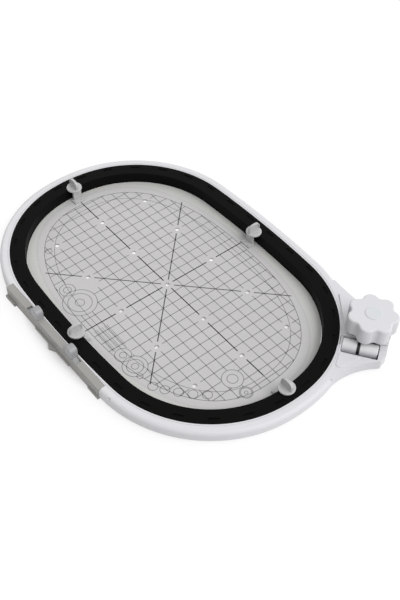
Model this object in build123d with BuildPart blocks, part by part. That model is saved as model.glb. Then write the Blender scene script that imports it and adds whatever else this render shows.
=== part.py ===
from build123d import *
import math
import os

# Embroidery hoop for a sewing machine: a split outer hoop, a black inner hoop that presses the
# cloth into it, a marked template in the inner hoop, a knob lock at the split and a connector for
# the machine's arm. Millimetres, +Z up. The origin is the hoop's centre on the table, +X runs along
# the hoop, and the connector lies on the -Y side.

os.makedirs("parts", exist_ok=True)

# Outline of the joint between the two hoops, an oval of end, corner and side arcs
hoop_half_length = 161.7
hoop_half_width = 109.9
end_arc_radius = 137.0
side_arc_radius = 980.0
corner_start_azimuth = 7.555

# Outer hoop
cloth_gap = 0.3
outer_hoop_width = 9.0
outer_hoop_height = 12.0
outer_shoulder_radius = 3.4
outer_foot_chamfer = 2.7
outer_rib_slot_start = 2.4
outer_rib_slot_end = 4.8
outer_rib_slot_depth = 8.4
outer_rib_thickness = 1.6
rib_count = 28
rim_line_place = 1.5
rim_line_width = 0.5
rim_line_depth = 0.4
index_notch_x = 72.0
index_notch_y = -115.1
index_notch_turn = 15.0
index_notch_length = 3.0
index_notch_width = 1.4
index_notch_depth = 2.2
cut_overrun = 2.0

# Inner hoop
inner_hoop_width = 13.5
inner_hoop_bottom = 0.3
inner_hoop_top = 12.3
inner_hoop_wall = 2.2
inner_hoop_deck = 2.4
inner_rib_thickness = 1.8
inner_edge_round = 0.6
deck_slot_length = 9.0
deck_slot_width = 2.2
deck_slot_depth = 0.7
deck_slot_inset = 4.4
deck_slot_count = 32
grip_band_bottom = 3.4
grip_band_height = 5.0
grip_band_thickness = 0.9

# Template plate and its printed grid
plate_gap = 0.4
plate_thickness = 1.5
plate_bottom = 0.3
mark_pitch = 50.0
mark_columns = 5
mark_rows = 3
mark_hole_radius = 2.1
print_shift_x = -1.7
print_shift_y = -0.9

# Clips that carry the template
clip_thickness = 1.8
clip_foot_end = -9.5
clip_neck_place = -2.6
clip_neck_width = 8.6
clip_foot_width = 12.0
clip_foot_height = 1.6
clip_seat_gap = 0.3
clip_disc_place = 0.6
clip_disc_radius = 7.2
clip_fin_start = -5.5
clip_fin_end = 6.5
clip_fin_top = 22.6
clip_fin_thickness = 2.2
clip_fin_round = 4.5
clip_fin_rim = 1.1
clip_dish_depth = 0.5
clip_edge_round = 0.5
clip_shift_x = 1.65
clip_shift_y = -1.8
clip_long_side_shift = 3.0
clip_end_shift = -1.0
rivet_radius = 1.1
rivet_head_radius = 1.7
rivet_head_height = 0.5
rivet_spacing = 7.0
rivet_place = -7.0

# Lock: knob, spindle and cam
knob_reach = 24.0658
knob_azimuth = 43.9904
lock_azimuth = 35.0
knob_lobes = 7
knob_phase = -49.0
knob_tip_radius = 21.6
knob_lobe_radius = 6.8
knob_valley_radius = 18.1
knob_bottom = 18.8
knob_height = 16.0
knob_deck = 2.6
knob_skirt_inner_radius = 16.2
knob_hub_radius = 8.5
knob_rib_thickness = 1.5
knob_top_round = 1.6
knob_bottom_round = 0.7
knob_cap_radius = 7.0
knob_cap_thickness = 2.0
knob_cap_rise = 0.5
spindle_radius = 4.0
spindle_bottom = 0.8
spindle_top = 28.0
press_clearance = 0.02
running_clearance = 0.05
body_clearance = 0.3
screw_thread_radius = 1.9
screw_head_radius = 3.4
screw_head_height = 2.0
screw_seat_depth = 2.4
screw_thread_length = 7.5
cam_rest_radius = 8.8
cam_rise = 3.0
cam_sweep = 150.0
cam_margin_angle = 15.0
cam_bottom = 8.4
cam_height = 3.3
cam_pin_radius = 1.0
cam_pin_length = 11.0

# Lock: ears, cover and bushes
boss_radius = 18.5
lock_outer_edge = 17.5
lock_floor = 3.0
lock_clear_radius = 48.0
pocket_inner = -9.6
pocket_outer = 11.0
pocket_end = 16.0
split_place = -11.0
split_gap = 0.6
tongue_gap = 0.5
tongue_place = -21.0
tongue_end = -20.7
trough_inner = -19.25
trough_outer = 11.3
trough_end = -28.4
trough_floor = 2.2
trough_inner_round = 1.5
trough_outer_round = 3.4
ear_corner_r = 14.3
ear_corner_t = -29.0
ear_shoulder_t = -21.2
ear_waist_r = -2.5
ear_waist_t = -37.7
ear_root_azimuth = 15.0
flare_root_azimuth = 73.0
flare_sagitta = 1.6
panel_height = 0.6
panel_edge_round = 0.4
near_panel_corners = (((-18.7, -30.7), 1.0), ((-4.6, -31.1), 1.4), ((-17.7, -41.9), 2.8))
cover_thickness = 1.4
cover_edge_round = 0.6
cover_disc_radius = 16.6
cover_wing_corners = (((-29.5, 32.7), 1.2), ((-16.1, 27.8), 1.6), ((-16.7, -8.0), 1.6))
turret_radius = 12.0
turret_top = 17.6
bush_radius = 5.5
bush_floor_height = 4.2
bush_boss_radius = 8.0
cover_screw_places = ((-13.4, 6.5), (12.9, 5.2), (-13.4, -6.0), (12.9, -5.2))
cover_screw_radius = 1.1
cover_screw_length = 8.0
cover_screw_head_radius = 1.9
cover_screw_head_height = 1.2
washer_thickness = 0.8
washer_radius = 8.6

# Lock: draw link and cross pin
pin_t = -17.7
pin_z = 9.0
pin_radius = 2.0
pin_inner_end = -20.9
pin_outer_end = 16.0
link_inner = -6.6
link_thickness = 2.0
link_eye_radius = 6.2
link_arm_bottom = 4.6
link_arm_height = 3.4
link_foot_height = 2.0
link_foot_length = 4.6
link_foot_reach = 3.2
follower_radius = 2.5
follower_pin_radius = 1.2
barrel_radius = 5.8
barrel_round = 0.6
side_gap = 0.1
sleeve_inner = -19.0
barrel_outer = 10.4
pin_washer_thickness = 0.6
pin_washer_radius = 4.2

# Connector for the machine's arm
connector_x = -7.8
connector_half_length = 68.6
connector_inner_y = -110.9
connector_front_y = -117.5
connector_cover_thickness = 2.2
connector_floor = 3.0
connector_front_wall = 1.2
connector_end_block = 14.0
connector_edge_round = 0.5
fit_gap = 0.2
hoop_wall_y = -111.7
pad_height = 3.0
end_pad_reach = 1.9
centre_pad_reach = 1.0
centre_pad_left = 23.0
centre_pad_right = 27.0
arrow_half_width = 5.6
arrow_reach = 3.3
arrow_shift = 3.0
socket_radius = 2.0
socket_depth = 7.0
socket_inset = 6.8
socket_y = -114.7
window_end = 37.5
window_front_lip = 0.9
window_back_lip = 0.8
lever_tab_shift = 1.1
lever_tab_start = 20.5
lever_tab_thickness = 9.6
lever_tab_top = 21.4
lever_tab_round = 4.0
lever_tab_edge_round = 1.0
lever_neck_start = 26.2
lever_bar_start = 21.8
lever_bar_end = 42.0
lever_bar_bottom = 3.3
lever_bar_top = 9.4
lever_ramp_low = 10.0
lever_ramp_high = 11.8
lever_travel = 4.0
lever_nose_place = 34.5
lever_nose_length = 5.0
lever_nose_width = 2.4
lever_nose_bottom = 0.6
spring_radius = 1.1
spring_wire = 0.4
spring_reach = 1.1
spring_pocket_depth = 6.0
spring_peg_radius = 0.6
spring_peg_length = 3.0
lug_half_width = 3.2
inner_lug_place = 9.0
outer_lug_room = 1.4
screw_hole_radius = 1.35
body_screw_radius = 1.25
body_screw_head_radius = 2.0
body_screw_head_height = 1.3
body_screw_top = 11.2

# Places that follow from the sizes above
end_centre = (hoop_half_length - end_arc_radius, 0)
side_centre = (0, hoop_half_width - side_arc_radius)
end_join = corner_start_azimuth
corner_heading = math.radians(corner_start_azimuth)
centre_along = end_centre[0] * math.cos(corner_heading) - side_centre[1] * math.sin(corner_heading)
arc_difference = side_arc_radius - end_arc_radius
centre_distance = math.hypot(end_centre[0], side_centre[1])
end_to_corner = (centre_distance**2 - arc_difference**2) / (2 * (arc_difference - centre_along))
corner_arc_radius = end_arc_radius - end_to_corner


def around(centre, radius, azimuth):
    """Point at a radius and azimuth in degrees about a centre."""
    turn = math.radians(azimuth)
    return (centre[0] + radius * math.cos(turn), centre[1] + radius * math.sin(turn))


corner_centre = around(end_centre, end_to_corner, end_join)
side_join = math.degrees(math.atan2(corner_centre[1] - side_centre[1], corner_centre[0]))
knob_centre = around(corner_centre, corner_arc_radius + knob_reach, knob_azimuth)
lock_heading = math.radians(lock_azimuth)
lock_plane = Plane(
    origin=(knob_centre[0], knob_centre[1], 0),
    x_dir=(math.cos(lock_heading), math.sin(lock_heading), 0),
)
corner_in_lock = lock_plane.to_local_coords(Vector(corner_centre[0], corner_centre[1], 0))
ring_middle_r = corner_in_lock.X + corner_arc_radius + outer_hoop_width / 2
follower_t = cam_rest_radius + follower_radius + body_clearance
channel_front = connector_front_y + connector_front_wall
screw_y = (hoop_wall_y + channel_front) / 2
outer_lug_place = connector_half_length - connector_end_block - lug_half_width - outer_lug_room
lug_xs = [connector_x + side * place for side in (-1, 1) for place in (inner_lug_place, outer_lug_place)]
socket_place = connector_half_length - socket_inset
lever_middle_z = (lever_bar_bottom + lever_bar_top) / 2
spring_start = inner_lug_place + lug_half_width
window_start = lever_neck_start - lever_travel - body_clearance
cover_underside = outer_hoop_height - connector_cover_thickness
connector_left = connector_x - connector_half_length
connector_right = connector_x + connector_half_length
plate_top = plate_bottom + plate_thickness
knob_top = knob_bottom + knob_height


def oval(margin, mode=Mode.ADD):
    """Draw the hoop's outline, moved outwards by margin, as eight tangent arcs."""
    tip = around(end_centre, end_arc_radius + margin, 0)
    end_point = around(end_centre, end_arc_radius + margin, end_join)
    corner_middle = around(corner_centre, corner_arc_radius + margin, (end_join + side_join) / 2)
    side_point = around(side_centre, side_arc_radius + margin, side_join)
    crown = around(side_centre, side_arc_radius + margin, 90)
    with BuildLine() as outline:
        for side in (1, -1):
            ThreePointArc(
                (side * end_point[0], end_point[1]),
                (side * tip[0], 0),
                (side * end_point[0], -end_point[1]),
            )
            ThreePointArc(
                (side_point[0], side * side_point[1]),
                (0, side * crown[1]),
                (-side_point[0], side * side_point[1]),
            )
            for end in (1, -1):
                ThreePointArc(
                    (end * end_point[0], side * end_point[1]),
                    (end * corner_middle[0], side * corner_middle[1]),
                    (end * side_point[0], side * side_point[1]),
                )
    make_face(outline.edges(), mode=mode)


def cross_plane(place):
    """Plane square to the cross pin at a distance along it from the knob's axis."""
    return Plane(
        origin=lock_plane.from_local_coords(Vector(place, pin_t, pin_z)),
        x_dir=lock_plane.y_dir,
        z_dir=lock_plane.x_dir,
    )


def hull_of(corners):
    """Draw the outline stretched round circles, each given as (place, radius)."""
    with BuildLine() as rims:
        for place, radius in corners:
            CenterArc(place, radius, 0, 360)
    make_hull(rims.edges())


def stations(margin, count):
    """Evenly spaced places along the outline moved by margin, each turned to face along it."""
    end_arc = (end_arc_radius + margin) * math.radians(end_join)
    corner_arc = (corner_arc_radius + margin) * math.radians(side_join - end_join)
    side_arc = (side_arc_radius + margin) * math.radians(90 - side_join)
    quarter = end_arc + corner_arc + side_arc
    places = []
    for k in range(count):
        along = (k + 0.5) * 4 * quarter / count
        quadrant = int(along // quarter)
        rest = along - quadrant * quarter
        if quadrant % 2:
            rest = quarter - rest
        if rest < end_arc:
            azimuth = math.degrees(rest / (end_arc_radius + margin))
            point = around(end_centre, end_arc_radius + margin, azimuth)
        elif rest < end_arc + corner_arc:
            azimuth = end_join + math.degrees((rest - end_arc) / (corner_arc_radius + margin))
            point = around(corner_centre, corner_arc_radius + margin, azimuth)
        else:
            azimuth = side_join + math.degrees((rest - end_arc - corner_arc) / (side_arc_radius + margin))
            point = around(side_centre, side_arc_radius + margin, azimuth)
        flip_x = -1 if quadrant in (1, 2) else 1
        flip_y = -1 if quadrant in (2, 3) else 1
        places.append(Location((flip_x * point[0], flip_y * point[1], 0), (0, 0, flip_x * flip_y * azimuth)))
    return places


def finish_part(builder, name):
    """Label a finished piece and write its STEP file."""
    builder.part.label = name
    export_step(builder.part, "parts/" + name + ".step")


# Near ear: the flared end of the split outer hoop that the cross pin pulls on
near_root = around(corner_centre, corner_arc_radius + outer_hoop_width, ear_root_azimuth)
near_root_local = lock_plane.to_local_coords(Vector(near_root[0], near_root[1], 0))
with BuildPart() as near_ear:
    with BuildSketch(lock_plane):
        with BuildLine():
            Polyline(
                (ring_middle_r, split_place - split_gap),
                (lock_outer_edge, split_place - split_gap),
                (lock_outer_edge, ear_shoulder_t),
                (ear_corner_r, ear_corner_t),
            )
            ThreePointArc(
                (ear_corner_r, ear_corner_t),
                (ear_waist_r, ear_waist_t),
                (near_root_local.X, near_root_local.Y),
            )
            Polyline(
                (near_root_local.X, near_root_local.Y),
                (near_root_local.X - outer_hoop_width / 2, near_root_local.Y),
                (ring_middle_r, split_place - split_gap),
            )
        make_face()
    extrude(amount=outer_hoop_height)
    ear_foot_edges = near_ear.edges().group_by(Axis.Z)[0]
    corner_foot = ear_foot_edges.sort_by_distance(
        lock_plane.from_local_coords(Vector(ear_corner_r, ear_corner_t, 0))
    )
    chamfer(corner_foot[0:2], length=outer_foot_chamfer)

# Low panel moulded on the near ear
with BuildPart() as near_panel:
    with BuildSketch(lock_plane.offset(outer_hoop_height)):
        hull_of(near_panel_corners)
    extrude(amount=panel_height)
    fillet(near_panel.edges().group_by(Axis.Z)[-1], radius=panel_edge_round)

# Far ear: the other end of the split, a round boss under the knob that flares into the hoop
flare_root = around(corner_centre, corner_arc_radius + outer_hoop_width, flare_root_azimuth)
flare_inner = around(corner_centre, corner_arc_radius + outer_hoop_width / 2, flare_root_azimuth)
flare_middle = around(
    corner_centre,
    corner_arc_radius + outer_hoop_width / 2,
    (flare_root_azimuth + lock_azimuth) / 2,
)
flare_end = around(knob_centre, boss_radius, 90)
flare_waist = ((flare_root[0] + flare_end[0]) / 2, (flare_root[1] + flare_end[1]) / 2 - flare_sagitta)
far_end = lock_plane.from_local_coords(Vector(ring_middle_r, split_place, 0))
with BuildPart() as far_ear:
    with BuildSketch():
        with BuildLine():
            ThreePointArc(flare_root, flare_waist, flare_end)
            Polyline(flare_end, knob_centre, (far_end.X, far_end.Y))
            ThreePointArc((far_end.X, far_end.Y), flare_middle, flare_inner)
            Line(flare_inner, flare_root)
        make_face()
        with Locations(knob_centre):
            Circle(boss_radius)
        with Locations(Location((far_end.X, far_end.Y, 0), (0, 0, lock_azimuth))):
            Rectangle(
                lock_outer_edge - ring_middle_r,
                split_gap - split_place,
                align=(Align.MIN, Align.MIN),
            )
            Rectangle(
                4 * boss_radius,
                boss_radius,
                align=(Align.CENTER, Align.MAX),
                mode=Mode.SUBTRACT,
            )
    extrude(amount=outer_hoop_height)

# Outer hoop: the split ring, rounded on its outer shoulder and undercut at its foot
with BuildPart() as outer_hoop:
    with BuildSketch():
        oval(outer_hoop_width)
        oval(cloth_gap, mode=Mode.SUBTRACT)
    extrude(amount=outer_hoop_height)
    fillet(outer_hoop.faces().sort_by(Axis.Z)[-1].outer_wire().edges(), radius=outer_shoulder_radius)
    chamfer(outer_hoop.faces().sort_by(Axis.Z)[0].outer_wire().edges(), length=outer_foot_chamfer)
    # Hollow underside between cross ribs, away from the lock and the connector
    with BuildSketch():
        oval(outer_rib_slot_end)
        oval(outer_rib_slot_start, mode=Mode.SUBTRACT)
        with Locations(*stations(outer_rib_slot_start, rib_count)):
            Rectangle(outer_hoop_width, outer_rib_thickness, mode=Mode.SUBTRACT)
        with Locations(knob_centre):
            Circle(lock_clear_radius, mode=Mode.SUBTRACT)
        with Locations((connector_x, connector_front_y)):
            Rectangle(
                2 * (connector_half_length + outer_hoop_width),
                4 * outer_hoop_width,
                mode=Mode.SUBTRACT,
            )
    extrude(amount=outer_rib_slot_depth, mode=Mode.SUBTRACT)
    # Room for the connector, down to a thin wall, and a rebate under its cover
    with BuildSketch():
        with Locations((connector_x, hoop_wall_y)):
            Rectangle(
                2 * (connector_half_length + fit_gap),
                4 * outer_hoop_width,
                align=(Align.CENTER, Align.MAX),
            )
    extrude(amount=outer_hoop_height, mode=Mode.SUBTRACT)
    with BuildSketch(Plane.XY.offset(cover_underside - side_gap)):
        with Locations((connector_x, connector_inner_y + fit_gap)):
            Rectangle(
                2 * (connector_half_length + fit_gap),
                4 * outer_hoop_width,
                align=(Align.CENTER, Align.MAX),
            )
    extrude(amount=outer_hoop_height, mode=Mode.SUBTRACT)
    # Four lugs that the connector's screws go through
    with BuildSketch(Plane.XY.offset(connector_floor + side_gap)):
        with Locations(*[(x, hoop_wall_y + side_gap) for x in lug_xs]):
            Rectangle(
                2 * lug_half_width,
                hoop_wall_y + side_gap - channel_front - fit_gap,
                align=(Align.CENTER, Align.MAX),
            )
    extrude(amount=cover_underside - connector_floor - 2 * side_gap)
    with BuildSketch(Plane.XY.offset(connector_floor)):
        with Locations(*[(x, screw_y) for x in lug_xs]):
            Circle(screw_hole_radius)
    extrude(amount=cover_underside, mode=Mode.SUBTRACT)
    # A peg on each inner lug that a lever's spring sits on
    for side in (-1, 1):
        peg_root = (connector_x + side * (spring_start - side_gap), screw_y, lever_middle_z)
        with BuildSketch(Plane(origin=peg_root, z_dir=(side, 0, 0))):
            Circle(spring_peg_radius)
        extrude(amount=spring_peg_length)
    # The two ears of the lock
    add(near_ear.part)
    add(far_ear.part)
    add(near_panel.part)
    # A fine line round the top beside the inner edge, and a notch beyond the connector's end
    with BuildSketch(Plane.XY.offset(outer_hoop_height)):
        oval(rim_line_place + rim_line_width)
        oval(rim_line_place, mode=Mode.SUBTRACT)
    extrude(amount=-rim_line_depth, mode=Mode.SUBTRACT)
    with BuildSketch(Plane.XY.offset(outer_hoop_height)):
        with Locations((index_notch_x, index_notch_y)):
            SlotOverall(index_notch_length, index_notch_width, rotation=index_notch_turn)
    extrude(amount=-index_notch_depth, mode=Mode.SUBTRACT)
    # Trough for the cross barrel
    with BuildSketch(lock_plane.offset(trough_floor)) as trough:
        with Locations((trough_inner, trough_end)):
            Rectangle(
                trough_outer - trough_inner,
                split_place - trough_end,
                align=(Align.MIN, Align.MIN),
            )
        trough_corners = trough.vertices().group_by(Axis.Y)[0].sort_by(Axis.X)
        fillet(trough_corners[0], radius=trough_inner_round)
        fillet(trough_corners[-1], radius=trough_outer_round)
    extrude(amount=outer_hoop_height, mode=Mode.SUBTRACT)
    # The split, with a tongue on the far end that overlaps the near lug
    with BuildSketch(lock_plane):
        with Locations((tongue_place, split_place)):
            Rectangle(
                2 * boss_radius + lock_outer_edge,
                split_gap,
                align=(Align.MIN, Align.MAX),
            )
            Rectangle(
                tongue_gap,
                split_place - tongue_end + tongue_gap,
                align=(Align.MAX, Align.MAX),
            )
        with Locations((tongue_place, tongue_end)):
            Rectangle(outer_hoop_width, tongue_gap, align=(Align.MAX, Align.MAX))
    extrude(amount=outer_hoop_height + cut_overrun, mode=Mode.SUBTRACT)
    # Pocket for the cam, open towards the split, with a raised seat for the lower bush
    with BuildSketch(lock_plane.offset(lock_floor)):
        with Locations((pocket_inner, split_place - split_gap)):
            Rectangle(
                pocket_outer - pocket_inner,
                pocket_end - split_place + split_gap,
                align=(Align.MIN, Align.MIN),
            )
    extrude(amount=outer_hoop_height, mode=Mode.SUBTRACT)
    with BuildSketch(lock_plane.offset(lock_floor)):
        Circle(bush_boss_radius)
    extrude(amount=bush_floor_height - lock_floor)
    with BuildSketch(lock_plane.offset(spindle_bottom)):
        Circle(bush_radius + press_clearance)
    extrude(amount=outer_hoop_height, mode=Mode.SUBTRACT)
    # Slots that let the cross pin travel in both lugs
    with BuildSketch(cross_plane(tongue_place)):
        with Locations((-cam_rise / 2, 0)):
            SlotCenterToCenter(cam_rise, 2 * (pin_radius + running_clearance))
    extrude(amount=pin_outer_end + fit_gap - tongue_place, mode=Mode.SUBTRACT)
    # Screw holes for the lock cover
    with BuildSketch(lock_plane.offset(outer_hoop_height)):
        with Locations(*cover_screw_places):
            Circle(cover_screw_radius + press_clearance)
    extrude(amount=cover_thickness - cover_screw_length, mode=Mode.SUBTRACT)
finish_part(outer_hoop, "outer_hoop")

# Lock cover: closes the cam pocket and carries the upper bush in its turret
with BuildPart() as lock_cover:
    with BuildSketch(lock_plane.offset(outer_hoop_height)):
        hull_of((((0, 0), cover_disc_radius),) + cover_wing_corners)
        with Locations((0, split_place)):
            Rectangle(4 * boss_radius, boss_radius, align=(Align.CENTER, Align.MAX), mode=Mode.SUBTRACT)
    extrude(amount=cover_thickness)
    fillet(lock_cover.edges().group_by(Axis.Z)[-1], radius=cover_edge_round)
    with BuildSketch(lock_plane.offset(outer_hoop_height + cover_thickness)):
        Circle(turret_radius)
        with Locations((0, split_place)):
            Rectangle(4 * boss_radius, boss_radius, align=(Align.CENTER, Align.MAX), mode=Mode.SUBTRACT)
    extrude(amount=turret_top - outer_hoop_height - cover_thickness)
    with BuildSketch(lock_plane.offset(outer_hoop_height)):
        Circle(spindle_radius + body_clearance)
    extrude(amount=turret_top, mode=Mode.SUBTRACT)
    with BuildSketch(lock_plane.offset(outer_hoop_height + cover_thickness)):
        Circle(bush_radius + press_clearance)
    extrude(amount=turret_top, mode=Mode.SUBTRACT)
    with BuildSketch(lock_plane.offset(outer_hoop_height)):
        with Locations(*cover_screw_places):
            Circle(cover_screw_radius + press_clearance)
    extrude(amount=cover_thickness, mode=Mode.SUBTRACT)
finish_part(lock_cover, "lock_cover")

# Screws that hold the lock cover down
with BuildPart() as lock_cover_screws:
    with BuildSketch(lock_plane.offset(outer_hoop_height + cover_thickness)):
        with Locations(*cover_screw_places):
            Circle(cover_screw_radius)
    extrude(amount=fit_gap - cover_screw_length)
    with BuildSketch(lock_plane.offset(outer_hoop_height + cover_thickness)):
        with Locations(*cover_screw_places):
            Circle(cover_screw_head_radius)
    extrude(amount=cover_screw_head_height)
    fillet(lock_cover_screws.edges().group_by(Axis.Z)[-1], radius=cover_screw_head_height / 3)
finish_part(lock_cover_screws, "lock_cover_screws")

# Plain bearing bushes of the spindle, one in the ear's floor and one in the turret
with BuildPart() as lock_bush_lower:
    with BuildSketch(lock_plane.offset(spindle_bottom)):
        Circle(bush_radius)
        Circle(spindle_radius + running_clearance, mode=Mode.SUBTRACT)
    extrude(amount=bush_floor_height - spindle_bottom)
finish_part(lock_bush_lower, "lock_bush_lower")
with BuildPart() as lock_bush_upper:
    with BuildSketch(lock_plane.offset(outer_hoop_height + cover_thickness)):
        Circle(bush_radius)
        Circle(spindle_radius + running_clearance, mode=Mode.SUBTRACT)
    extrude(amount=turret_top - outer_hoop_height - cover_thickness)
finish_part(lock_bush_upper, "lock_bush_upper")

# Thrust washer between the turret and the knob's hub
with BuildPart() as knob_thrust_washer:
    with BuildSketch(lock_plane.offset(turret_top)):
        Circle(washer_radius)
        Circle(spindle_radius + body_clearance, mode=Mode.SUBTRACT)
    extrude(amount=washer_thickness)
finish_part(knob_thrust_washer, "knob_thrust_washer")

# Lock knob: a hollow seven-lobed moulding with a ribbed hub
lobe_place = knob_tip_radius - knob_lobe_radius
lobe_turn = 360 / knob_lobes
lobe_cosine = math.cos(math.radians(lobe_turn / 2))
valley_span = lobe_place**2 + knob_valley_radius**2 - 2 * lobe_place * knob_valley_radius * lobe_cosine
valley_room = lobe_place * lobe_cosine + knob_lobe_radius - knob_valley_radius
valley_arc_radius = (valley_span - knob_lobe_radius**2) / (2 * valley_room)
valley_place = knob_valley_radius + valley_arc_radius
lobe_share = knob_lobe_radius / (knob_lobe_radius + valley_arc_radius)
screw_seat = knob_top - knob_cap_thickness - screw_seat_depth


def lobe_join(lobe, side):
    """Point where a lobe's arc runs into the valley arc on one side of it."""
    lobe_azimuth = knob_phase + lobe * lobe_turn
    inner = around((0, 0), lobe_place, lobe_azimuth)
    outer = around((0, 0), valley_place, lobe_azimuth + side * lobe_turn / 2)
    return (
        inner[0] + (outer[0] - inner[0]) * lobe_share,
        inner[1] + (outer[1] - inner[1]) * lobe_share,
    )


with BuildPart() as lock_knob:
    with BuildSketch(lock_plane.offset(knob_bottom)):
        with BuildLine():
            for lobe in range(knob_lobes):
                azimuth = knob_phase + lobe * lobe_turn
                tip = around((0, 0), knob_tip_radius, azimuth)
                valley = around((0, 0), knob_valley_radius, azimuth + lobe_turn / 2)
                ThreePointArc(lobe_join(lobe, -1), tip, lobe_join(lobe, 1))
                ThreePointArc(lobe_join(lobe, 1), valley, lobe_join(lobe + 1, -1))
        make_face()
    extrude(amount=knob_height)
    fillet(lock_knob.edges().group_by(Axis.Z)[-1], radius=knob_top_round)
    fillet(lock_knob.edges().group_by(Axis.Z)[0], radius=knob_bottom_round)
    with BuildSketch(lock_plane.offset(knob_bottom)):
        Circle(knob_skirt_inner_radius)
        Circle(knob_hub_radius, mode=Mode.SUBTRACT)
        with PolarLocations(knob_skirt_inner_radius, knob_lobes, start_angle=knob_phase):
            Rectangle(
                2 * (knob_skirt_inner_radius - knob_hub_radius) + knob_rib_thickness,
                knob_rib_thickness,
                mode=Mode.SUBTRACT,
            )
    extrude(amount=knob_height - knob_deck, mode=Mode.SUBTRACT)
    with BuildSketch(lock_plane.offset(knob_bottom)):
        Circle(spindle_radius + press_clearance)
    extrude(amount=spindle_top - knob_bottom, mode=Mode.SUBTRACT)
    with BuildSketch(lock_plane.offset(spindle_top)):
        Circle(screw_thread_radius + fit_gap)
    extrude(amount=knob_height, mode=Mode.SUBTRACT)
    with BuildSketch(lock_plane.offset(screw_seat)):
        Circle(screw_head_radius + fit_gap)
    extrude(amount=knob_height, mode=Mode.SUBTRACT)
    with BuildSketch(lock_plane.offset(knob_top - knob_cap_thickness)):
        Circle(knob_cap_radius + press_clearance)
    extrude(amount=knob_height, mode=Mode.SUBTRACT)
finish_part(lock_knob, "lock_knob")

# Cap that snaps into the top of the knob over its screw
cap_bottom = knob_top - knob_cap_thickness
with BuildPart() as knob_cap:
    with BuildSketch(lock_plane.offset(cap_bottom)):
        Circle(knob_cap_radius)
    extrude(amount=knob_cap_thickness + knob_cap_rise)
    fillet(knob_cap.edges().group_by(Axis.Z)[-1], radius=knob_cap_rise)
finish_part(knob_cap, "knob_cap")

# Screw that clamps the knob on its spindle
with BuildPart() as knob_screw:
    with BuildSketch(lock_plane.offset(screw_seat)):
        Circle(screw_thread_radius)
    extrude(amount=-screw_thread_length)
    with BuildSketch(lock_plane.offset(screw_seat)):
        Circle(screw_head_radius)
    extrude(amount=screw_head_height)
    with BuildSketch(lock_plane.offset(screw_seat + screw_head_height)):
        RegularPolygon(screw_head_radius / 2, 6)
    extrude(amount=-screw_head_height / 2, mode=Mode.SUBTRACT)
finish_part(knob_screw, "knob_screw")

# Lock spindle: a steel shaft through both bushes, threaded at its top for the knob's screw
cam_pin_plane = Plane(
    origin=lock_plane.from_local_coords(Vector(0, 0, cam_bottom + cam_height / 2)),
    z_dir=lock_plane.x_dir,
)
with BuildPart() as lock_spindle:
    with BuildSketch(lock_plane.offset(spindle_bottom)):
        Circle(spindle_radius)
    extrude(amount=spindle_top - spindle_bottom)
    with BuildSketch(lock_plane.offset(spindle_top)):
        Circle(screw_thread_radius + press_clearance)
    extrude(amount=-screw_thread_length, mode=Mode.SUBTRACT)
    with BuildSketch(cam_pin_plane):
        Circle(cam_pin_radius + press_clearance)
    extrude(amount=2 * spindle_radius, both=True, mode=Mode.SUBTRACT)
finish_part(lock_spindle, "lock_spindle")

# Lock cam: a heart-shaped disc whose radius falls evenly by the link's travel over the knob's turn
cam_half_fall = cam_rise * 180 / cam_sweep
cam_peak = cam_rest_radius + cam_rise * cam_margin_angle / cam_sweep
cam_peak_azimuth = 90 + cam_margin_angle
cam_steps = 8


def cam_flank(side):
    """Points of one flank: the radius falls in proportion to the turn from the peak."""
    return [
        around(
            (0, 0),
            cam_peak - cam_half_fall * step / cam_steps,
            cam_peak_azimuth + side * 180 * step / cam_steps,
        )
        for step in range(cam_steps + 1)
    ]


with BuildPart() as lock_cam:
    with BuildSketch(lock_plane.offset(cam_bottom)):
        with BuildLine():
            Spline(*cam_flank(1))
            Spline(*cam_flank(-1))
        make_face()
        Circle(spindle_radius + press_clearance, mode=Mode.SUBTRACT)
    extrude(amount=cam_height)
    with BuildSketch(cam_pin_plane):
        Circle(cam_pin_radius + press_clearance)
    extrude(amount=2 * cam_peak, both=True, mode=Mode.SUBTRACT)
finish_part(lock_cam, "lock_cam")

# Cross pin that keys the cam to the spindle
with BuildPart() as cam_pin:
    with BuildSketch(cam_pin_plane):
        Circle(cam_pin_radius)
    extrude(amount=cam_pin_length / 2, both=True)
finish_part(cam_pin, "cam_pin")

# Draw link: a bent steel strap with an eye on the cross pin and a foot that the cam's follower is
# riveted to
with BuildPart() as draw_link:
    with BuildSketch(cross_plane(link_inner)):
        Circle(link_eye_radius)
        with Locations((0, link_arm_bottom - pin_z)):
            Rectangle(
                follower_t + link_foot_length / 2 - pin_t,
                link_arm_height,
                align=(Align.MIN, Align.MIN),
            )
        Circle(pin_radius + running_clearance, mode=Mode.SUBTRACT)
    extrude(amount=link_thickness)
    with BuildSketch(lock_plane.offset(link_arm_bottom)):
        with Locations((link_inner, follower_t)):
            Rectangle(
                link_foot_reach - link_inner,
                link_foot_length,
                align=(Align.MIN, Align.CENTER),
            )
        with Locations((0, follower_t)):
            Circle(follower_pin_radius + press_clearance, mode=Mode.SUBTRACT)
    extrude(amount=link_foot_height)
finish_part(draw_link, "draw_link")
with BuildPart() as link_follower_pin:
    with BuildSketch(lock_plane.offset(link_arm_bottom)):
        with Locations((0, follower_t)):
            Circle(follower_pin_radius)
    extrude(amount=cam_bottom + cam_height - link_arm_bottom)
finish_part(link_follower_pin, "link_follower_pin")
with BuildPart() as follower_roller:
    with BuildSketch(lock_plane.offset(cam_bottom)):
        with Locations((0, follower_t)):
            Circle(follower_radius)
            Circle(follower_pin_radius + running_clearance, mode=Mode.SUBTRACT)
    extrude(amount=cam_height)
finish_part(follower_roller, "follower_roller")

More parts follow.
